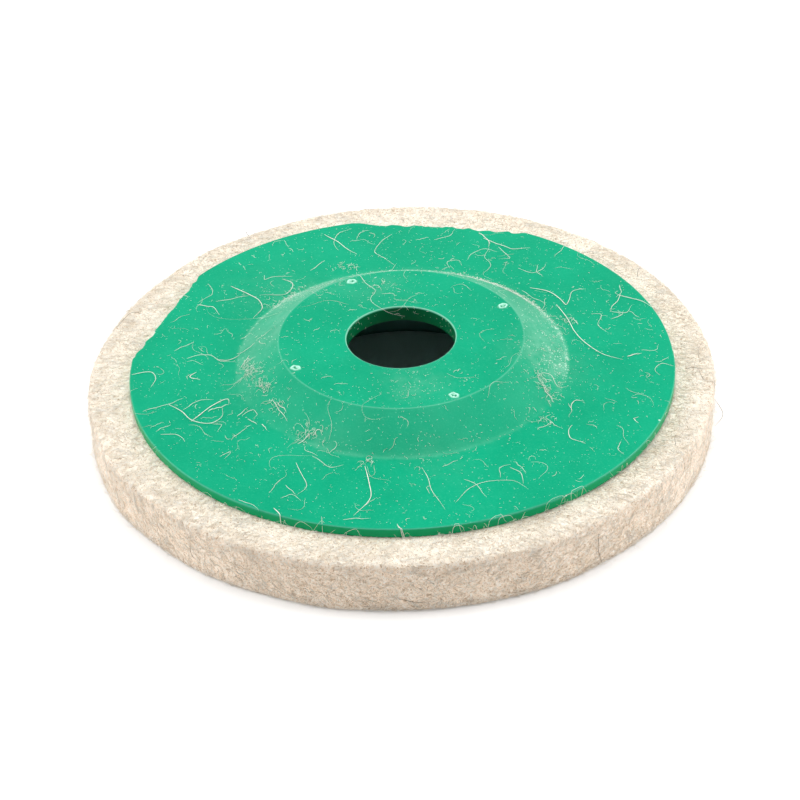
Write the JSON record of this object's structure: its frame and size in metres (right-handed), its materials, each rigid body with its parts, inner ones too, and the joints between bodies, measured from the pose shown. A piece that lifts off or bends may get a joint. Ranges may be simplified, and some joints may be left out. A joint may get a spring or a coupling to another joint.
{
  "type": "felt polishing wheel",
  "caption": "Round pressed-felt polishing wheel bonded to a moulded plastic backing plate with a raised hub and a plain arbor bore for an angle grinder.",
  "frame": {"origin": "centre of the felt's flat working face, on the bore's axis", "axes": "+Z along the bore from the felt's working face towards the grinder; +X and +Y lie in the working face, with +X to the right and +Y away from a person who has the longer of the plate's two trimmed flats at the back"},
  "size_m": [0.127, 0.127, 0.0192],
  "materials": {
    "green_plastic": "satin moulded, dusty with wool fibres",
    "adhesive": "brushed on, semi-matte",
    "wool_felt": "pressed wool, fuzzy"
  },
  "bodies": {
    "root": {"backing_plate": "green_plastic", "bond_film": "adhesive", "felt_ring": "wool_felt", "hole_seal": "adhesive"}
  },
  "joints": []
}
